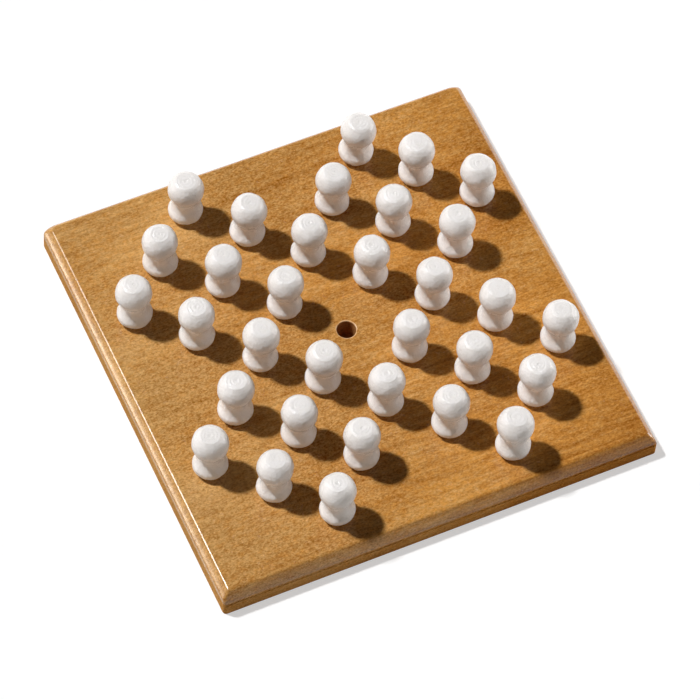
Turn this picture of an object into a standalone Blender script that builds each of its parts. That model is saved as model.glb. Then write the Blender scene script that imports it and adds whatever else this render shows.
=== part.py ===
"""Peg solitaire game: a square moulded wooden board with turned pegs.

The board lies flat on the XY plane with its underside at Z = 0, centred on the
Z axis. Its holes form a cross of seven by seven places without the four
corners, turned 45 degrees so that the arms point at the corners of the board.
Every hole but the middle one holds a peg, which lifts straight out along +Z.
Lengths are in metres and angles in radians.
"""

import math

import bpy

# Board
board_side = 0.200
board_thickness = 0.013
lower_band_height = 0.0070
ledge_width = 0.0003
roundover_width = 0.0040
bottom_arris_radius = 0.0008
corner_radius = 0.0024
mitre_radius = 0.0004

# Hole pattern: places are counted from the middle hole along the two rows, and
# the margin is from the outermost holes' axes to the board's sides
edge_margin = 0.0194
pattern_turn = math.radians(45)
arm_reach_count = 3
arm_half_width_count = 1

# Holes
hole_diameter = 0.0082
hole_depth = 0.010
rim_chamfer = 0.00035
cut_overrun = 0.001

# Pegs: heights are above the flat underside of the foot
foot_radius = 0.00765
foot_edge_radius = 0.0038
neck_radius = 0.00545
neck_fillet_radius = 0.0082
head_radius = 0.00785
head_facet_radius = 0.0041
stem_end_chamfer = 0.0006

# Fits between a peg and its hole
stem_clearance = 0.0004
stem_end_gap = 0.0010
seat_gap = 0.0003

# Facets
peg_sides = 12
hole_sides = 12
moulding_steps = 6
arris_steps = 2
corner_steps = 3
head_steps = 5
neck_steps = 3
foot_steps = 3
merge_distance = 0.00001
smooth_angle = math.radians(40)

# Colours
wood_colour = (0.50, 0.245, 0.062, 1.0)
wood_roughness = 0.32
lacquer_colour = (0.80, 0.78, 0.765, 1.0)
lacquer_roughness = 0.28


def clear_scene():
    """Remove what the scene holds, so that a second run starts afresh."""
    for old in list(bpy.data.objects):
        bpy.data.objects.remove(old, do_unlink=True)


def new_collection(name):
    """Make a collection and link it to the scene."""
    made = bpy.data.collections.new(name)
    bpy.context.scene.collection.children.link(made)
    return made


def new_material(name, colour, roughness):
    """Make a plain surface for a non-metal piece."""
    made = bpy.data.materials.new(name)
    made.use_nodes = True
    shader = made.node_tree.nodes["Principled BSDF"]
    shader.inputs["Base Color"].default_value = colour
    shader.inputs["Roughness"].default_value = roughness
    shader.inputs["Metallic"].default_value = 0.0
    made.diffuse_color = colour
    return made


def arc(centre, radius, start, end, steps):
    """Give the points of an arc in the XZ plane, with both ends."""
    points = []
    for step in range(steps + 1):
        angle = start + (end - start) * step / steps
        x = centre[0] + radius * math.cos(angle)
        z = centre[1] + radius * math.sin(angle)
        points.append((x, z))
    return points


def profile_mesh(name, points):
    """Make an open chain of edges in the XZ plane from (x, z) points."""
    mesh = bpy.data.meshes.new(name)
    vertices = [(x, 0, z) for x, z in points]
    edges = [(index, index + 1) for index in range(len(points) - 1)]
    mesh.from_pydata(vertices, edges, [])
    return mesh


def turned_object(name, mesh, sides, collection):
    """Turn a profile, drawn down its outer side, once about Z into a closed solid."""
    made = bpy.data.objects.new(name, mesh)
    collection.objects.link(made)
    screw = made.modifiers.new("turning", "SCREW")
    screw.axis = "Z"
    screw.angle = math.tau
    screw.steps = sides
    screw.render_steps = sides
    screw.use_merge_vertices = True
    screw.merge_threshold = merge_distance
    screw.use_smooth_shade = False
    return made


def smooth_round_mesh(name, turned):
    """Make a mesh of a turned object, shaded smooth but for its arrises."""
    view = bpy.context.evaluated_depsgraph_get()
    mesh = bpy.data.meshes.new_from_object(turned.evaluated_get(view))
    mesh.name = name
    mesh.shade_smooth()
    mesh.set_sharp_from_angle(angle=smooth_angle)
    return mesh


def hole_places():
    """Give the XY place of every hole of the cross, with the middle one first."""
    turn_cosine = math.cos(pattern_turn)
    turn_sine = math.sin(pattern_turn)
    places_to_side = arm_reach_count * turn_cosine + arm_half_width_count * turn_sine
    spacing = (board_side / 2 - edge_margin) / places_to_side
    along_row = (turn_cosine * spacing, -turn_sine * spacing)
    across_rows = (turn_sine * spacing, turn_cosine * spacing)
    reach = range(-arm_reach_count, arm_reach_count + 1)
    places = [(0, 0)]
    for row in reversed(reach):
        for column in reach:
            in_upright_arm = abs(column) <= arm_half_width_count
            in_level_arm = abs(row) <= arm_half_width_count
            is_middle = row == 0 and column == 0
            if is_middle or not (in_upright_arm or in_level_arm):
                continue
            x = column * along_row[0] + row * across_rows[0]
            y = column * along_row[1] + row * across_rows[1]
            places.append((x, y))
    return places


def board_edge_points():
    """Give the board's edge section as (inset from the side, height), from the top down."""
    moulding_height = board_thickness - lower_band_height
    points = []
    for x, z in arc((0, 0), 1, math.pi / 2, math.pi, moulding_steps):
        points.append((ledge_width + roundover_width * (1 + x), lower_band_height + moulding_height * z))
    points.append((0, lower_band_height))
    arris_centre = (bottom_arris_radius, bottom_arris_radius)
    points += arc(arris_centre, bottom_arris_radius, math.pi, math.pi * 3 / 2, arris_steps)
    return points


def rounded_square(half_side, radius):
    """Give the XY points of a square with rounded corners, counter-clockwise."""
    reach = half_side - radius
    points = []
    for quarter in range(4):
        turn = quarter * math.pi / 2
        x = reach * (math.cos(turn) - math.sin(turn))
        y = reach * (math.cos(turn) + math.sin(turn))
        points += arc((x, y), radius, turn, turn + math.pi / 2, corner_steps)
    return points


def board_blank_mesh():
    """Make the undrilled board: its edge section led round a square with rounded corners.

    The corners' radius shrinks as the section draws in, so that the roundover
    meets itself in mitres that are all but sharp.
    """
    vertices = []
    for inset, height in board_edge_points():
        radius = max(corner_radius - inset, mitre_radius)
        vertices += [(x, y, height) for x, y in rounded_square(board_side / 2 - inset, radius)]
    ring_size = 4 * (corner_steps + 1)
    faces = [range(ring_size), range(len(vertices) - 1, len(vertices) - 1 - ring_size, -1)]
    for upper in range(0, len(vertices) - ring_size, ring_size):
        for step in range(ring_size):
            following = (step + 1) % ring_size
            lower = upper + ring_size
            faces.append((upper + step, lower + step, lower + following, upper + following))
    mesh = bpy.data.meshes.new("board_blank")
    mesh.from_pydata(vertices, [], [tuple(face) for face in faces])
    return mesh


def make_board(collection, cutters, material):
    """Make the board: the moulded blank with the holes drilled in it."""
    blank = bpy.data.objects.new("board", board_blank_mesh())
    collection.objects.link(blank)
    drill = blank.modifiers.new("holes", "BOOLEAN")
    drill.operation = "DIFFERENCE"
    drill.solver = "EXACT"
    drill.operand_type = "COLLECTION"
    drill.collection = cutters
    blank.data.materials.append(material)
    return blank


def make_hole_cutters(cutters):
    """Make one blind drill with a small countersink for each hole."""
    radius = hole_diameter / 2
    bottom = board_thickness - hole_depth
    above = board_thickness + cut_overrun
    points = [
        (0, above),
        (radius + rim_chamfer + cut_overrun, above),
        (radius, board_thickness - rim_chamfer),
        (radius, bottom),
        (0, bottom),
    ]
    section = profile_mesh("hole_section", points)
    for number, (x, y) in enumerate(hole_places()):
        cutter = turned_object(f"hole_cutter_{number:02d}", section, hole_sides, cutters)
        cutter.location = (x, y, 0)
        cutter.hide_render = True
        cutter.display_type = "WIRE"


def peg_points():
    """Give the peg's section from the top of the head down to the stem's end.

    The head and the foot's edge are arcs, and the neck is a hollow arc that is
    tangent to both, so the peg's height follows from the named radii.
    """
    foot_centre_x = foot_radius - foot_edge_radius
    neck_centre_x = neck_radius + neck_fillet_radius
    foot_reach = foot_edge_radius + neck_fillet_radius
    head_reach = head_radius + neck_fillet_radius
    foot_rise = math.sqrt(foot_reach**2 - (neck_centre_x - foot_centre_x) ** 2)
    head_rise = math.sqrt(head_reach**2 - neck_centre_x**2)
    foot_centre = (foot_centre_x, foot_edge_radius)
    neck_centre = (neck_centre_x, foot_edge_radius + foot_rise)
    head_centre = (0, neck_centre[1] + head_rise)

    facet_angle = math.acos(head_facet_radius / head_radius)
    head_end = -math.asin(head_rise / head_reach)
    foot_start = math.asin(foot_rise / foot_reach)
    points = [(0, head_centre[1] + head_radius * math.sin(facet_angle))]
    points += arc(head_centre, head_radius, facet_angle, head_end, head_steps)
    points += arc(neck_centre, neck_fillet_radius, math.pi + head_end, math.pi + foot_start, neck_steps)[1:-1]
    points += arc(foot_centre, foot_edge_radius, foot_start, -math.pi / 2, foot_steps)

    stem_radius = hole_diameter / 2 - stem_clearance
    stem_length = hole_depth - stem_end_gap
    points += [
        (stem_radius, 0),
        (stem_radius, -stem_length + stem_end_chamfer),
        (stem_radius - stem_end_chamfer, -stem_length),
        (0, -stem_length),
    ]
    return points


def make_pegs(collection, material, parent):
    """Make a peg for every hole but the middle one, each with its origin on its lifting axis."""
    section = profile_mesh("peg_section", peg_points())
    pattern = turned_object("peg_pattern", section, peg_sides, collection)
    shape = smooth_round_mesh("peg", pattern)
    shape.materials.append(material)
    bpy.data.objects.remove(pattern, do_unlink=True)
    for number, (x, y) in enumerate(hole_places()[1:], start=1):
        peg = bpy.data.objects.new(f"peg_{number:02d}", shape)
        peg.location = (x, y, board_thickness + seat_gap)
        peg.parent = parent
        collection.objects.link(peg)


def main():
    clear_scene()
    parts = new_collection("peg_solitaire")
    cutters = new_collection("peg_solitaire_cutters")
    wood = new_material("varnished_wood", wood_colour, wood_roughness)
    lacquer = new_material("white_lacquer", lacquer_colour, lacquer_roughness)
    base = bpy.data.objects.new("game_base", None)
    parts.objects.link(base)
    make_hole_cutters(cutters)
    board = make_board(parts, cutters, wood)
    board.parent = base
    make_pegs(parts, lacquer, base)
    bpy.context.view_layer.update()


main()
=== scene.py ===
import math
import random

import bmesh
import bpy
from mathutils import Matrix, Vector, noise


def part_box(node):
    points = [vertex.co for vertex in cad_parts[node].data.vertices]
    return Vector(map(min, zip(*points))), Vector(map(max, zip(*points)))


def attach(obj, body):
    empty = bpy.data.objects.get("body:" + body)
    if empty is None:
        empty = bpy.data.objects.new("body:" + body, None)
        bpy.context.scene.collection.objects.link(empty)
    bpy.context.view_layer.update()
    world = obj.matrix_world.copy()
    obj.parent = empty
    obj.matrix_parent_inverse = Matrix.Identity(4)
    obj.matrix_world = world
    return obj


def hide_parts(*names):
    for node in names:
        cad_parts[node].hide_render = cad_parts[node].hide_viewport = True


# The varnished board and its white turned pegs. Lengths are in metres, in the
# frame's own axes: the board lies on the XY plane and the pegs lift along +Z.
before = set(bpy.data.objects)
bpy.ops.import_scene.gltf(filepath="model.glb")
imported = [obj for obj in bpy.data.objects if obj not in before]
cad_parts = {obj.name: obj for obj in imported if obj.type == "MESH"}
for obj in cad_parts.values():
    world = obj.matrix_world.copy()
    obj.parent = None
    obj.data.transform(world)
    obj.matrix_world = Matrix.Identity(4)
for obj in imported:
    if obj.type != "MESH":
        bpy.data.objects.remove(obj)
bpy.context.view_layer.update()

# Board: the moulding runs from the top face through arcs, each given by its
# radius and the tilts in degrees between which it turns, down to a ledge over a
# plain band. The left side is flatter than the others. For each side, from the
# right one counter-clockwise, the arcs stand with the top face's inset.
lower_band_height = 0.0066
left_arcs = ((0.0022, 0, 40), (0.0150, 40, 52), (0.0026, 52, 88))
other_arcs = ((0.0019, 0, 50), (0.0220, 50, 60), (0.0050, 60, 88))
mouldings = ((other_arcs, 0.00455), (other_arcs, 0.00433), (left_arcs, 0.00417), (other_arcs, 0.00455))
gloss_end_height = 0.0074
degrees_per_step = 5
ledge_edge_radius = 0.0002
bottom_arris_radius = 0.0003

# Corners, from the back right one counter-clockwise: the reach of the rounding
# along X and along Y at the board's side, and the least radius further in
corner_reaches = ((0.0070, 0.0034), (0.0070, 0.0040), (0.0017, 0.0017), (0.0018, 0.0018))
mitre_radii = (0.0020, 0.0024, 0.0010, 0.0014)
corner_steps = 10
ledge_steps = 2
arris_steps = 4
board_smooth_angle = math.radians(35)

# Holes
hole_radius = 0.0042
hole_depth = 0.010
rim_radius = 0.00045
rim_steps = 5
rim_wear = 0.00016
spur_radius = 0.0009
spur_depth = 0.0006
hole_sides = 48
middle_hole_sides = 96
wall_shares = (0.25, 0.5, 0.75, 1.0)

# The board's material slots
varnished_slot = 0
drilled_slot = 1
bare_slot = 2
cut_slot = 3

# Pegs: heights are above the foot's underside
foot_radius = 0.00765
foot_edge_radius = 0.0038
foot_hollow = 0.0004
neck_radius = 0.00545
neck_fillet_radius = 0.0082
head_radius = 0.00785
facet_height = 0.0066
facet_edge_radius = 0.0021
facet_dome = 0.00012
centre_mark_radius = 0.0006
centre_mark_depth = 0.00014
stem_radius = 0.0037
stem_length = 0.009
stem_end_radius = 0.0006
seat_gap = 0.00012
centre_mark_shares = (0.0, 0.4, 0.75, 1.0)
facet_shares = (0.35, 0.6, 0.8)
peg_sides = 64
facet_edge_steps = 8
head_steps = 22
neck_steps = 10
foot_steps = 14
stem_end_steps = 3
peg_smooth_angle = math.radians(40)

# How far one hand-turned peg strays from the next, the first four as shares of a size
size_spread = 0.012
neck_spread = 0.024
facet_spread = 0.024
facet_edge_spread = (-0.4, 0.3)
lump_depth = 0.00019
lump_length = 0.0040
ripple_depth = 0.00008
ripple_length = 0.0015
facet_tilt_spread = math.radians(2.2)
lean_spread = math.radians(0.7)
most_shift = 0.000175
most_lean = math.radians(2.0)
seed_steps = (17.3, 5.9, 11.1)

# Pegs that plainly lean in the photograph: where the head stands, beside its hole's axis
leaning_heads = {
    "peg_01": (0.0006, -0.0008),
    "peg_02": (-0.0009, -0.0002),
    "peg_03": (-0.0009, 0.0003),
    "peg_05": (-0.0007, 0.0),
    "peg_08": (0.0004, -0.0009),
    "peg_14": (-0.0007, -0.0004),
    "peg_19": (-0.0008, -0.0006),
    "peg_20": (-0.0009, 0.0005),
    "peg_21": (-0.0007, 0.0002),
    "peg_24": (-0.0007, -0.0004),
    "peg_27": (0.0002, 0.0009),
    "peg_29": (-0.0008, 0.0),
    "peg_30": (-0.0001, 0.0006),
    "peg_32": (-0.0009, 0.0),
}

# Camera: the photograph's, fitted to the pegs and the board's outline
frame_pixels = 700
sensor_millimetres = 36
focal_pixels = 4459
camera_azimuth = math.radians(-28.09)
camera_elevation = math.radians(58.36)
camera_roll = math.radians(4.54)
camera_distance = 1.9137
left_shift_pixels = 4.80
up_shift_pixels = 4.68

# Wood: lengths in millimetres, and noise scales per millimetre along the grain
# and across it. A range is the stretch of a noise over which its effect sets in.
grain_wander_scale = (0.010, 0.022, 0.022)
grain_wander = 22.0
pith_y = 38.0
pith_depth = 52.0
growth_ring_spacing = 4.6
late_wood_start = 0.35
late_wood_end = 0.93
ring_strength_scale = (0.02, 0.06, 0.06)
ring_strength_range = (0.35, 0.70)
ring_darkness = 0.17
fibre_scale = (0.08, 0.8, 0.8)
speck_scale = (1.0, 1.5, 1.5)
change_scale = (0.015, 0.030, 0.030)
change_range = (0.38, 0.62)
fibre_gains = (0.35, 0.95)
speck_gains = (2.2, 1.7)
blotch_scale = (0.018, 0.035, 0.035)
blotch_gain = 0.8
# The wood lightens towards -X: partly its own figure, partly a painted sheen.
figure_and_sheen_tone_slope = 0.0008
mean_tone = 0.54
band_scale = (0.008, 0.040, 0.040)
band_gain = 1.3
patch_scale = (0.30, 0.55, 0.55)
patch_gain = 2.6
# The wood pales towards -X: partly its own figure, partly a painted sheen.
figure_and_sheen_warmth_slope = 0.0032
mean_warmth = 0.5
warm_tint = (0.96, 0.77, 0.46, 1)
pore_scale = (0.45, 2.2, 2.2)
pore_range = (0.10, 0.24)
score_scale = (0.5, 0.5, 5.0)
fine_detail = 3.0
fine_roughness = 0.6

# Wood colours: the dark grain, the light grain and the pores, and how much the pores show
varnished_colours = ((0.268, 0.1000, 0.0092, 1), (0.690, 0.405, 0.146, 1), (0.22, 0.085, 0.013, 1))
bare_colours = ((0.305, 0.112, 0.0105, 1), (0.745, 0.425, 0.155, 1), (0.20, 0.080, 0.013, 1))
drilled_colours = ((0.26, 0.110, 0.030, 1), (0.56, 0.29, 0.115, 1), (0.12, 0.048, 0.014, 1))
cut_colours = ((0.58, 0.36, 0.17, 1), (0.86, 0.64, 0.42, 1), (0.40, 0.22, 0.09, 1))
surface_pore_share = 0.45
cut_pore_share = 0.5

# Varnish and bare wood: reliefs in metres, and what each noise adds to the relief
cloud_range = (0.3, 0.7)
varnish_cloud_scale = 0.35
varnish_roughness = (0.20, 0.28)
varnish_wave_scale = 0.28
wave_gain = 0.6
pore_gain = 0.10
grain_gain = 0.10
varnish_relief = 0.00006
bare_relief = 0.00008

# Lacquer: places along the peg's section in millimetres, and the lathe's rings in
# radians per millimetre there. The rings fade from the flat of the head outwards.
clean_colour = (0.88, 0.852, 0.842, 1)
dull_colour = (0.83, 0.798, 0.775, 1)
dull_range = (0.3, 0.75)
dirt_colour = (0.62, 0.57, 0.50, 1)
dirt_scale = 1.9
dirt_range = (0.70, 0.80)
dirt_share = 0.25
lacquer_cloud_scale = 0.30
lacquer_roughness = (0.20, 0.32)
lathe_ring_rate = 4.5
lathe_ring_sway = 5.0
lathe_sway_scale = 0.25
lathe_ring_fade = (3.0, 6.5)
lathe_ring_gains = (0.25, 0.08)
peel_scale = 1.05
peel_gain = 2.2
lacquer_relief = 0.00014
noise_reach = 97.0

# Light: a white surface under it shows about as white as its own colour
key_direction = Vector((-0.380, 0.377, 0.845))
key_level = 0.92
key_width = math.radians(5)
side_direction = Vector((-0.884, 0.463, 0.062))
side_size = (0.30, 0.14)
side_level = 0.195
side_colour = (1, 0.93, 0.82)
rim_direction = Vector((0.95, -0.05, 0.07))
rim_size = (0.50, 0.14)
rim_level = 0.52
rim_colour = (1, 1, 1)
lamp_distance = 1.2
horizon_level = 1.25
zenith_level = 0.01
wall_colour = (1, 0.87, 0.72, 1)
horizon_top = math.sin(math.radians(3))
zenith_bottom = math.sin(math.radians(17))

# Stage
floor_size = 40
floor_gap = 0.00005
floor_colour = (0.50, 0.50, 0.50, 1)
floor_glow = 0.53

millimetres_per_metre = 1000


def arc(centre, radius, start, end, steps):
    """Give the points of an arc with both ends, from angle start to angle end."""
    points = []
    for step in range(steps + 1):
        angle = start + (end - start) * step / steps
        points.append((centre[0] + radius * math.cos(angle), centre[1] + radius * math.sin(angle)))
    return points


def add_node(tree, kind, inputs=None, **settings):
    """Add a shader node, set its settings, and set or link its inputs."""
    made = tree.nodes.new(kind)
    for name, value in settings.items():
        setattr(made, name, value)
    for socket, value in (inputs or {}).items():
        if isinstance(value, bpy.types.NodeSocket):
            tree.links.new(value, made.inputs[socket])
        else:
            made.inputs[socket].default_value = value
    return made


def calculate(tree, operation, first, second=0.0, clamp=False):
    """Add a Math node and give its output."""
    made = add_node(tree, "ShaderNodeMath", {0: first, 1: second}, operation=operation, use_clamp=clamp)
    return made.outputs[0]


def calculate_vector(tree, operation, first, second):
    """Add a Vector Math node and give its output."""
    made = add_node(tree, "ShaderNodeVectorMath", {0: first, 1: second}, operation=operation)
    return made.outputs[0]


def noise_value(tree, place, scale=1.0, detail=2.0, roughness=0.5):
    """Add a Noise node and give its value, from 0 to 1 about 0.5."""
    inputs = {"Vector": place, "Scale": scale, "Detail": detail, "Roughness": roughness}
    return add_node(tree, "ShaderNodeTexNoise", inputs).outputs["Fac"]


def stretched_noise(tree, place, scale, detail=2.0, roughness=0.5):
    """Add a noise whose scale differs along X, Y and Z."""
    return noise_value(tree, calculate_vector(tree, "MULTIPLY", place, scale), 1.0, detail, roughness)


def swing(tree, value, gain):
    """Centre a value that varies about 0.5 on zero, and stretch it by a gain."""
    return calculate(tree, "MULTIPLY", calculate(tree, "SUBTRACT", value, 0.5), gain)


def ramp(tree, value, low, high, to_low=0.0, to_high=1.0, smooth=True):
    """Map a value from low..high to to_low..to_high, with no overshoot."""
    kind = "SMOOTHSTEP" if smooth else "LINEAR"
    inputs = {"Value": value, "From Min": low, "From Max": high, "To Min": to_low, "To Max": to_high}
    return add_node(tree, "ShaderNodeMapRange", inputs, interpolation_type=kind).outputs[0]


def mix_colours(tree, share, first, second):
    """Mix two colours by a share."""
    made = add_node(tree, "ShaderNodeMix", {0: share}, data_type="RGBA")
    for socket, value in ((6, first), (7, second)):
        if isinstance(value, bpy.types.NodeSocket):
            tree.links.new(value, made.inputs[socket])
        else:
            made.inputs[socket].default_value = value
    return made.outputs[2]


def new_material(name):
    """Make a material and give it with its tree and its Principled shader."""
    made = bpy.data.materials.new(name)
    made.use_nodes = True
    return made, made.node_tree, made.node_tree.nodes["Principled BSDF"]


def raise_surface(tree, shader, height, relief):
    """Link a bump to the shader, with its relief in metres."""
    bump = add_node(tree, "ShaderNodeBump", {"Strength": 1.0, "Distance": relief, "Height": height})
    tree.links.new(bump.outputs[0], shader.inputs["Normal"])


def place_in_millimetres(tree):
    """Give the piece's own coordinates, in millimetres."""
    own = add_node(tree, "ShaderNodeTexCoord").outputs["Object"]
    scale = (millimetres_per_metre,) * 3
    return calculate_vector(tree, "MULTIPLY", own, scale)


def growth_rings(tree, place, y, z):
    """Give the growth rings, which lie round a pith that runs along X, below the board."""
    wander = swing(tree, stretched_noise(tree, place, grain_wander_scale, 1.0), grain_wander)
    beside = calculate(tree, "ADD", calculate(tree, "SUBTRACT", y, pith_y), wander)
    above = calculate(tree, "ADD", z, pith_depth)
    squares = [calculate(tree, "POWER", length, 2.0) for length in (beside, above)]
    radius = calculate(tree, "SQRT", calculate(tree, "ADD", *squares))
    ring = calculate(tree, "FRACT", calculate(tree, "DIVIDE", radius, growth_ring_spacing))
    late = ramp(tree, ring, late_wood_start, late_wood_end)
    early = ramp(tree, ring, late_wood_end, 1.0)
    strength = stretched_noise(tree, place, ring_strength_scale, 1.0)
    rings = calculate(tree, "SUBTRACT", late, early, clamp=True)
    return calculate(tree, "MULTIPLY", rings, ramp(tree, strength, *ring_strength_range))


def grain_and_sheen_tone(tree, place, x, rings):
    """Give the tone: in some places fibres show, in others a fine mottle, and it darkens towards +X, which is
    partly the wood's own figure and partly a painted sheen on the -X side.
    """
    fibre = stretched_noise(tree, place, fibre_scale)
    speck = stretched_noise(tree, place, speck_scale, fine_detail, fine_roughness)
    change = stretched_noise(tree, place, change_scale, 1.0)
    fibre_gain = ramp(tree, change, *change_range, *fibre_gains)
    speck_gain = ramp(tree, change, *change_range, *speck_gains)
    blotch = stretched_noise(tree, place, blotch_scale)
    tone = calculate(tree, "ADD", swing(tree, fibre, fibre_gain), swing(tree, speck, speck_gain))
    tone = calculate(tree, "ADD", tone, swing(tree, blotch, blotch_gain))
    tone = calculate(tree, "SUBTRACT", tone, calculate(tree, "MULTIPLY", rings, ring_darkness))
    # Lighter towards -X: partly the figure, partly a painted sheen.
    tone = calculate(tree, "SUBTRACT", tone, calculate(tree, "MULTIPLY", x, figure_and_sheen_tone_slope))
    return calculate(tree, "ADD", tone, mean_tone, clamp=True)


def warmth_and_sheen(tree, place, x):
    """Give the warmth: it grows towards +X, partly the wood's own figure and partly a painted sheen that
    pales the -X side, and varies in slow bands along the grain and in small patches.
    """
    band = stretched_noise(tree, place, band_scale)
    patch = stretched_noise(tree, place, patch_scale, fine_detail, fine_roughness)
    # Paler towards -X: partly the figure, partly a painted sheen.
    warmth = calculate(tree, "MULTIPLY", x, figure_and_sheen_warmth_slope)
    warmth = calculate(tree, "ADD", warmth, swing(tree, band, band_gain))
    warmth = calculate(tree, "ADD", warmth, swing(tree, patch, patch_gain))
    return calculate(tree, "ADD", warmth, mean_warmth, clamp=True)


def wood_figure(tree, place):
    """Give the wood's tone, from 0 for dark to 1 for light, its pores, and its warmth, from 0 to 1, with a
    painted sheen towards -X in the tone and the warmth.
    """
    x, y, z = add_node(tree, "ShaderNodeSeparateXYZ", {0: place}).outputs
    tone = grain_and_sheen_tone(tree, place, x, growth_rings(tree, place, y, z))
    cell = calculate_vector(tree, "MULTIPLY", place, pore_scale)
    pore = add_node(tree, "ShaderNodeTexVoronoi", {"Vector": cell, "Randomness": 1.0}).outputs["Distance"]
    pores = ramp(tree, pore, *pore_range, 1.0, 0.0)
    return tone, pores, warmth_and_sheen(tree, place, x)


def wood_colour(tree, figure, colours, pore_share):
    """Give the wood's colour from its figure and the colours of its dark and light grain and its pores."""
    tone, pores, warmth = figure
    dark, light, pore_colour = colours
    colour = mix_colours(tree, tone, dark, light)
    colour = mix_colours(tree, calculate(tree, "MULTIPLY", pores, pore_share), colour, pore_colour)
    tint = mix_colours(tree, warmth, (1, 1, 1, 1), warm_tint)
    return calculate_vector(tree, "MULTIPLY", colour, tint)


def varnished_wood():
    """Make honey-coloured hardwood under a satin varnish."""
    made, tree, shader = new_material("varnished_wood")
    place = place_in_millimetres(tree)
    figure = wood_figure(tree, place)
    tone, pores = figure[:2]
    colour = wood_colour(tree, figure, varnished_colours, surface_pore_share)
    tree.links.new(colour, shader.inputs["Base Color"])
    cloud = noise_value(tree, place, varnish_cloud_scale, fine_detail)
    rough = ramp(tree, cloud, *cloud_range, *varnish_roughness, smooth=False)
    tree.links.new(rough, shader.inputs["Roughness"])
    shader.inputs["IOR"].default_value = 1.5
    # The varnish sinks a little into the pores and lies in faint waves.
    wave = calculate(tree, "MULTIPLY", noise_value(tree, place, varnish_wave_scale, 1.0), wave_gain)
    sunk = calculate(tree, "MULTIPLY", pores, pore_gain)
    raised = calculate(tree, "MULTIPLY", tone, grain_gain)
    height = calculate(tree, "ADD", calculate(tree, "SUBTRACT", wave, sunk), raised)
    raise_surface(tree, shader, height, varnish_relief)
    return made


def bare_wood():
    """Make the matt wood of the lower band and the underside, which took little varnish."""
    made, tree, shader = new_material("bare_wood")
    figure = wood_figure(tree, place_in_millimetres(tree))
    colour = wood_colour(tree, figure, bare_colours, surface_pore_share)
    tree.links.new(colour, shader.inputs["Base Color"])
    shader.inputs["Roughness"].default_value = 0.6
    shader.inputs["Specular IOR Level"].default_value = 0.0
    raise_surface(tree, shader, figure[0], bare_relief)
    return made


def drilled_wood():
    """Make the bare wood inside a hole, darker and duller than the wood outside it and scored by the drill.
    """
    made, tree, shader = new_material("drilled_wood")
    place = place_in_millimetres(tree)
    colour = wood_colour(tree, wood_figure(tree, place), drilled_colours, cut_pore_share)
    tree.links.new(colour, shader.inputs["Base Color"])
    shader.inputs["Roughness"].default_value = 0.62
    raise_surface(tree, shader, stretched_noise(tree, place, score_scale), bare_relief)
    return made


def cut_wood():
    """Make the pale cut edge round a hole, where the varnish has worn off."""
    made, tree, shader = new_material("cut_wood")
    figure = wood_figure(tree, place_in_millimetres(tree))
    colour = wood_colour(tree, figure, cut_colours, cut_pore_share)
    tree.links.new(colour, shader.inputs["Base Color"])
    shader.inputs["Roughness"].default_value = 0.45
    return made


def white_lacquer():
    """Make white lacquer on turned wood: faint lathe rings, brush waves and greyed specks."""
    made, tree, shader = new_material("white_lacquer")
    tone = add_node(tree, "ShaderNodeAttribute", attribute_name="peg_tone").outputs["Fac"]
    turned = add_node(tree, "ShaderNodeAttribute", attribute_name="turned_length").outputs["Fac"]
    # Each peg takes its own place in the noise.
    apart = calculate(tree, "MULTIPLY", tone, noise_reach)
    offset = add_node(tree, "ShaderNodeCombineXYZ", {0: apart, 1: apart, 2: apart}).outputs[0]
    place = calculate_vector(tree, "ADD", place_in_millimetres(tree), offset)
    cloud = noise_value(tree, place, lacquer_cloud_scale, fine_detail)
    colour = mix_colours(tree, ramp(tree, cloud, *dull_range), clean_colour, dull_colour)
    dirt = ramp(tree, noise_value(tree, place, dirt_scale, 1.0), *dirt_range, 0.0, dirt_share)
    colour = mix_colours(tree, dirt, colour, dirt_colour)
    tree.links.new(colour, shader.inputs["Base Color"])
    rough = ramp(tree, cloud, *cloud_range, *lacquer_roughness, smooth=False)
    tree.links.new(rough, shader.inputs["Roughness"])
    shader.inputs["IOR"].default_value = 1.48
    # The lathe left rings between one and two millimetres apart, plainest on the flat of the head.
    sway = calculate(tree, "MULTIPLY", noise_value(tree, place, lathe_sway_scale, 1.0), lathe_ring_sway)
    phase = calculate(tree, "ADD", calculate(tree, "MULTIPLY", turned, lathe_ring_rate), sway)
    rings = calculate(tree, "SINE", calculate(tree, "ADD", phase, apart))
    rings = calculate(tree, "MULTIPLY", rings, ramp(tree, turned, *lathe_ring_fade, *lathe_ring_gains))
    peel = noise_value(tree, place, peel_scale, fine_detail, fine_roughness)
    peel = calculate(tree, "MULTIPLY", peel, peel_gain)
    raise_surface(tree, shader, calculate(tree, "ADD", rings, peel), lacquer_relief)
    return made


def moulding_section(arcs, top_inset, top_height):
    """Give the moulding as (inset, height) from the top face down to the ledge."""
    points = [(top_inset, top_height)]
    for radius, start, end in arcs:
        inset, height = points[-1]
        first = math.radians(start)
        centre = (inset + radius * math.sin(first), height - radius * math.cos(first))
        steps = math.ceil((end - start) / degrees_per_step)
        points += arc(centre, radius, math.pi / 2 + first, math.pi / 2 + math.radians(end), steps)[1:]
    points.append((points[-1][0], lower_band_height))
    return points


def inset_at(section, height):
    """Give a section's inset at a height."""
    for (upper_inset, upper), (lower_inset, lower) in zip(section, section[1:]):
        if height >= lower:
            return lower_inset + (upper_inset - lower_inset) * (height - lower) / (upper - lower)
    return section[-1][0]


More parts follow.
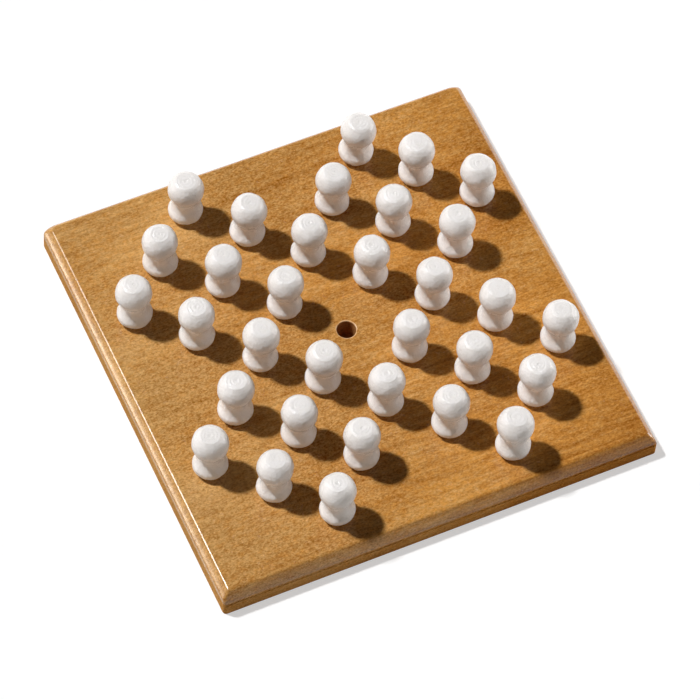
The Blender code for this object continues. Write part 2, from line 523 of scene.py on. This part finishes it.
def board_section(thickness):
    """Give the board's edge from the top down, as the insets of the four sides at each height."""
    sections = [moulding_section(arcs, inset, thickness) for arcs, inset in mouldings]
    heights = sorted({height for section in sections for inset, height in section}, reverse=True)
    points = [([inset_at(section, height) for section in sections], height) for height in heights]
    ledge_centre = (ledge_edge_radius, lower_band_height - ledge_edge_radius)
    band = arc(ledge_centre, ledge_edge_radius, math.pi / 2, math.pi, ledge_steps)
    arris_centre = (bottom_arris_radius, bottom_arris_radius)
    band += arc(arris_centre, bottom_arris_radius, math.pi, math.pi * 3 / 2, arris_steps)
    return points + [([inset] * 4, height) for inset, height in band]


def rounded_square(half_side, insets):
    """Give the board's outline drawn in by the four sides' insets, each corner with its own rounding."""
    points = []
    right, back, left, front = insets
    for quarter in range(4):
        turn = quarter * math.pi / 2
        inset_x = right if quarter in (0, 3) else left
        inset_y = back if quarter in (0, 1) else front
        reach_x, reach_y = corner_reaches[quarter]
        radius_x = max(reach_x - inset_x, mitre_radii[quarter])
        radius_y = max(reach_y - inset_y, mitre_radii[quarter])
        side_x = 1 if quarter in (0, 3) else -1
        side_y = 1 if quarter in (0, 1) else -1
        for x, y in arc((0, 0), 1, turn, turn + math.pi / 2, corner_steps):
            across = side_x * (half_side - inset_x - radius_x) + x * radius_x
            along = side_y * (half_side - inset_y - radius_y) + y * radius_y
            points.append((across, along))
    return points


def ring_of(mesh, points, height):
    """Add a ring of vertices at one height."""
    return [mesh.verts.new((x, y, height)) for x, y in points]


def ring_edges(mesh, ring):
    """Give the edges that join a ring's vertices."""
    return [mesh.edges.get(pair) for pair in zip(ring, ring[1:] + ring[:1])]


def bridge(mesh, upper, lower, material=0):
    """Join two rings, the upper one above or outside the lower, by faces that look outwards."""
    count = len(upper)
    for index in range(count):
        following = (index + 1) % count
        face = mesh.faces.new((upper[index], lower[index], lower[following], upper[following]))
        face.material_index = material
        face.smooth = True


def circle(centre, radius, sides):
    """Give the points of a circle, counter-clockwise."""
    angles = [math.tau / sides * number for number in range(sides)]
    return [(centre.x + radius * math.cos(angle), centre.y + radius * math.sin(angle)) for angle in angles]


def worn_circle(centre, radius, sides, wear):
    """Give a circle whose edge the drill has left a little rough."""
    points = []
    for x, y in circle(centre, radius, sides):
        rough = noise.noise(Vector((x, y, 0)) / (rim_radius * 2))
        outward = (Vector((x, y)) - centre).normalized() * (wear * abs(rough))
        points.append((x + outward.x, y + outward.y))
    return points


def add_hole(mesh, centre, top, sides):
    """Add one blind hole and give the edges of its rim in the top face."""
    profile = [(hole_radius + rim_radius, top)]
    for radius, height in arc((rim_radius, -rim_radius), rim_radius, math.pi / 2, math.pi, rim_steps)[1:]:
        profile.append((hole_radius + radius, top + height))
    bottom = top - hole_depth
    for share in wall_shares:
        profile.append((hole_radius, top - rim_radius - (hole_depth - rim_radius) * share))
    profile.append((spur_radius, bottom))
    rings = []
    for number, (radius, height) in enumerate(profile):
        wear = rim_wear if number == rim_steps else 0
        rings.append(ring_of(mesh, worn_circle(centre, radius, sides, wear), height))
    for number in range(len(rings) - 1):
        material = cut_slot if number < rim_steps - 1 else drilled_slot
        bridge(mesh, rings[number + 1], rings[number], material)
    tip = mesh.verts.new((centre.x, centre.y, bottom - spur_depth))
    last = rings[-1]
    for index in range(sides):
        face = mesh.faces.new((tip, last[index], last[(index + 1) % sides]))
        face.material_index = drilled_slot
        face.smooth = True
    return ring_edges(mesh, rings[0])


def make_board():
    """Make the varnished board, with its rounded moulding and its holes."""
    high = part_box("board")[1]
    mesh = bmesh.new()
    rings = []
    for insets, height in board_section(high.z):
        rings.append(ring_of(mesh, rounded_square(high.x, insets), height))
    for upper, lower in zip(rings, rings[1:]):
        is_bare = lower[0].co.z < gloss_end_height
        bridge(mesh, upper, lower, bare_slot if is_bare else varnished_slot)
    mesh.faces.new(list(reversed(rings[-1]))).material_index = bare_slot

    edges = ring_edges(mesh, rings[0])
    edges += add_hole(mesh, Vector((0, 0)), high.z, middle_hole_sides)
    for name in peg_names:
        peg_low, peg_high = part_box(name)
        edges += add_hole(mesh, ((peg_low + peg_high) / 2).xy, high.z, hole_sides)
    filled = bmesh.ops.triangle_fill(mesh, edges=edges, use_beauty=True, use_dissolve=False, normal=(0, 0, 1))
    for face in filled["geom"]:
        if isinstance(face, bmesh.types.BMFace):
            face.smooth = True
            if face.normal.z < 0:
                face.normal_flip()

    data = bpy.data.meshes.new("varnished_board")
    mesh.to_mesh(data)
    mesh.free()
    data.set_sharp_from_angle(angle=board_smooth_angle)
    for material in (varnished_wood(), drilled_wood(), bare_wood(), cut_wood()):
        data.materials.append(material)
    board = bpy.data.objects.new("varnished_board", data)
    bpy.context.scene.collection.objects.link(board)
    evened = board.modifiers.new("even_shading", "WEIGHTED_NORMAL")
    evened.keep_sharp = True
    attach(board, "board")
    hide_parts("board")


def peg_section(chance):
    """Give a peg's section from the centre of its top down to its stem's end."""
    head = head_radius * (1 + chance.uniform(-size_spread, size_spread))
    foot = foot_radius * (1 + chance.uniform(-size_spread, size_spread))
    neck = neck_radius * (1 + chance.uniform(-neck_spread, neck_spread))
    facet = facet_height * (1 + chance.uniform(-facet_spread, facet_spread))
    edge = facet_edge_radius * (1 + chance.uniform(*facet_edge_spread))

    foot_centre_x = foot - foot_edge_radius
    neck_centre_x = neck + neck_fillet_radius
    foot_reach = foot_edge_radius + neck_fillet_radius
    head_reach = head + neck_fillet_radius
    foot_rise = math.sqrt(foot_reach**2 - (neck_centre_x - foot_centre_x) ** 2)
    head_rise = math.sqrt(head_reach**2 - neck_centre_x**2)
    neck_height = foot_edge_radius + foot_rise
    head_height = neck_height + head_rise

    edge_height = facet - edge
    edge_x = math.sqrt((head - edge) ** 2 - edge_height**2)
    edge_angle = math.atan2(edge_height, edge_x)
    head_end = -math.asin(head_rise / head_reach)
    foot_start = math.asin(foot_rise / foot_reach)
    top = head_height + facet

    points = []
    for share in centre_mark_shares:
        radius = centre_mark_radius * share
        points.append((radius, top + facet_dome - centre_mark_depth * (1 - share**2)))
    for share in facet_shares:
        points.append((edge_x * share, top + facet_dome * (1 - share**2)))
    points += arc((edge_x, head_height + edge_height), edge, math.pi / 2, edge_angle, facet_edge_steps)
    points += arc((0, head_height), head, edge_angle, head_end, head_steps)[1:]
    neck_centre = (neck_centre_x, neck_height)
    neck_end = math.pi + foot_start
    points += arc(neck_centre, neck_fillet_radius, math.pi + head_end, neck_end, neck_steps)[1:]
    foot_centre = (foot_centre_x, foot_edge_radius)
    points += arc(foot_centre, foot_edge_radius, foot_start, -math.pi / 2, foot_steps)[1:]
    points += [
        (stem_radius + foot_hollow, 0),
        (stem_radius, -foot_hollow),
        (stem_radius, -stem_length / 2),
        (stem_radius, -stem_length + stem_end_radius),
    ]
    end_centre = (stem_radius - stem_end_radius, -stem_length + stem_end_radius)
    points += arc(end_centre, stem_end_radius, 0, -math.pi / 2, stem_end_steps)[1:]
    return points, head_height


def lumpy(point, normal, seed):
    """Give a point of a hand-finished surface, a little off the true one."""
    lump = noise.noise(point / lump_length + seed)
    ripple = noise.noise(point / ripple_length - seed)
    return point + normal * (lump_depth * lump + ripple_depth * ripple)


def turned_mesh(name, points, tilt, head_height, seed):
    """Turn a section about Z into a closed mesh, with the length along the section kept on it."""
    mesh = bmesh.new()
    length_layer = mesh.verts.layers.float.new("turned_length")
    rings = []
    length = 0
    for number, (radius, height) in enumerate(points):
        before = Vector(points[max(number - 1, 0)])
        after = Vector(points[min(number + 1, len(points) - 1)])
        length += (Vector((radius, height)) - before).length
        along = (after - before).normalized()
        ring = []
        around = circle(Vector((0, 0)), radius, peg_sides) if radius > 0 else [(0, 0)]
        for x, y in around:
            flat = Vector((x, y, 0)).normalized()
            normal = flat * -along.y + Vector((0, 0, along.x))
            place = Vector((x, y, height))
            if height > head_height:
                share = (height - head_height) / facet_height
                place.z += share**3 * (x * tilt.x + y * tilt.y)
            vertex = mesh.verts.new(lumpy(place, normal, seed))
            vertex[length_layer] = length * millimetres_per_metre
            ring.append(vertex)
        rings.append(ring)
    for upper, lower in zip(rings[1:], rings[2:]):
        bridge(mesh, upper, lower)
    for index in range(peg_sides):
        following = (index + 1) % peg_sides
        mesh.faces.new((rings[0][0], rings[1][index], rings[1][following])).smooth = True
    mesh.faces.new(list(reversed(rings[-1])))
    data = bpy.data.meshes.new(name)
    mesh.to_mesh(data)
    mesh.free()
    data.set_sharp_from_angle(angle=peg_smooth_angle)
    return data


def head_offset(name, chance, head_height):
    """Give how far a peg's head stands beside its hole's axis."""
    angle = chance.uniform(0, math.tau)
    lean = head_height * math.tan(chance.uniform(0, lean_spread))
    loose = Vector((math.cos(angle), math.sin(angle))) * lean
    return Vector(leaning_heads.get(name, loose))


def place_peg(name, offset, head_height, foot_edge):
    """Give a peg's place: its foot rests on the board and its head stands at the offset.

    Half of the offset, up to most_shift, is the peg's play in its hole, and the rest is its lean.
    """
    low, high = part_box(name)
    axis = ((low + high) / 2).xy
    shift = offset * (most_shift / max(offset.length, most_shift * 2))
    lean = min(math.atan((offset - shift).length / head_height), most_lean)
    turn_axis = Vector((-offset.y, offset.x, 0)).normalized() if offset.length > 0 else Vector((1, 0, 0))
    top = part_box("board")[1].z
    seat = top + seat_gap + foot_edge * math.sin(lean)
    turn = Matrix.Rotation(lean, 4, turn_axis)
    return Matrix.Translation((axis.x + shift.x, axis.y + shift.y, seat)) @ turn


def make_peg(number, name, material):
    """Make one white peg in its hole."""
    chance = random.Random(number)
    points, head_height = peg_section(chance)
    seed = Vector([number * step for step in seed_steps])
    tilt = Vector((chance.uniform(-1, 1), chance.uniform(-1, 1))) * math.tan(facet_tilt_spread)
    data = turned_mesh("turned_" + name, points, tilt, head_height, seed)
    tone = data.attributes.new("peg_tone", "FLOAT", "POINT")
    tone.data.foreach_set("value", [chance.random()] * len(data.vertices))
    data.materials.append(material)
    peg = bpy.data.objects.new("turned_" + name, data)
    bpy.context.scene.collection.objects.link(peg)
    offset = head_offset(name, chance, head_height)
    peg.matrix_world = place_peg(name, offset, head_height, foot_radius - foot_edge_radius)
    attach(peg, name)
    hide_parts(name)


def make_floor():
    """Make the pale floor, which is white to the eye and keeps the shadow."""
    bpy.ops.mesh.primitive_plane_add(size=floor_size, location=(0, 0, -floor_gap))
    floor = bpy.context.object
    floor.name = "floor"
    made, tree, shader = new_material("pale_floor")
    shader.inputs["Base Color"].default_value = floor_colour
    shader.inputs["Roughness"].default_value = 0.9
    shader.inputs["Specular IOR Level"].default_value = 0.0
    path = add_node(tree, "ShaderNodeLightPath").outputs
    seen = calculate(tree, "ADD", path["Is Camera Ray"], path["Is Glossy Ray"])
    seen = calculate(tree, "ADD", seen, path["Is Transmission Ray"], clamp=True)
    shader.inputs["Emission Color"].default_value = (1, 1, 1, 1)
    tree.links.new(calculate(tree, "MULTIPLY", seen, floor_glow), shader.inputs["Emission Strength"])
    floor.data.materials.append(made)


def make_world():
    """Make a warm white studio: bright round the horizon and dim overhead."""
    world = bpy.data.worlds.new("studio")
    world.use_nodes = True
    bpy.context.scene.world = world
    tree = world.node_tree
    direction = add_node(tree, "ShaderNodeTexCoord").outputs["Generated"]
    height = add_node(tree, "ShaderNodeSeparateXYZ", {0: direction}).outputs[2]
    level = ramp(tree, height, horizon_top, zenith_bottom, horizon_level, zenith_level)
    tree.links.new(level, tree.nodes["Background"].inputs["Strength"])
    tree.nodes["Background"].inputs["Color"].default_value = wall_colour


def aim(thing, direction, distance):
    """Put a light at a distance along a direction, and turn it to the board."""
    direction = direction.normalized()
    thing.location = direction * distance
    thing.rotation_mode = "QUATERNION"
    thing.rotation_quaternion = direction.to_track_quat("Z", "Y")


def make_lights():
    """Make the key light high at the left, and two soft lights low at the sides.

    The key's level is what a level white surface shows, and a soft light's is about what one that
    faces it at the middle of the board shows. The side light gleams in the varnish and the lacquer
    alone.
    """
    key = bpy.data.lights.new("key", "SUN")
    key.angle = key_width
    key.energy = key_level * math.pi / key_direction.normalized().z
    key_lamp = bpy.data.objects.new("key", key)
    bpy.context.scene.collection.objects.link(key_lamp)
    aim(key_lamp, key_direction, lamp_distance)

    for name, direction, size, level, colour, is_diffuse in (
        ("side", side_direction, side_size, side_level, side_colour, False),
        ("rim", rim_direction, rim_size, rim_level, rim_colour, True),
    ):
        soft = bpy.data.lights.new(name, "AREA")
        soft.shape = "RECTANGLE"
        soft.size, soft.size_y = size
        soft.color = colour
        soft.energy = level * (math.pi * lamp_distance) ** 2
        lamp = bpy.data.objects.new(name, soft)
        bpy.context.scene.collection.objects.link(lamp)
        aim(lamp, direction, lamp_distance)
        lamp.visible_camera = False
        lamp.visible_diffuse = is_diffuse


def make_camera():
    """Make the camera at the photograph's viewing angle."""
    data = bpy.data.cameras.new("camera")
    data.sensor_width = sensor_millimetres
    data.lens = focal_pixels * sensor_millimetres / frame_pixels
    data.shift_x = left_shift_pixels / frame_pixels
    data.shift_y = -up_shift_pixels / frame_pixels
    data.clip_start = camera_distance / 10
    data.clip_end = floor_size
    camera = bpy.data.objects.new("camera", data)
    bpy.context.scene.collection.objects.link(camera)
    back = Vector((
        math.sin(camera_azimuth) * math.cos(camera_elevation),
        -math.cos(camera_azimuth) * math.cos(camera_elevation),
        math.sin(camera_elevation),
    ))
    level = Vector((math.cos(camera_azimuth), math.sin(camera_azimuth), 0))
    upright = back.cross(level)
    right = level * math.cos(camera_roll) + upright * math.sin(camera_roll)
    up = upright * math.cos(camera_roll) - level * math.sin(camera_roll)
    turn = Matrix((right, up, back)).transposed().to_4x4()
    camera.matrix_world = Matrix.Translation(back * camera_distance) @ turn
    bpy.context.scene.camera = camera


peg_names = sorted(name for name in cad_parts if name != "board")
bpy.context.scene.view_settings.view_transform = "Standard"
make_camera()
make_lights()
make_world()
make_floor()
make_board()
lacquer = white_lacquer()
for peg_number, peg_name in enumerate(peg_names, start=1):
    make_peg(peg_number, peg_name, lacquer)
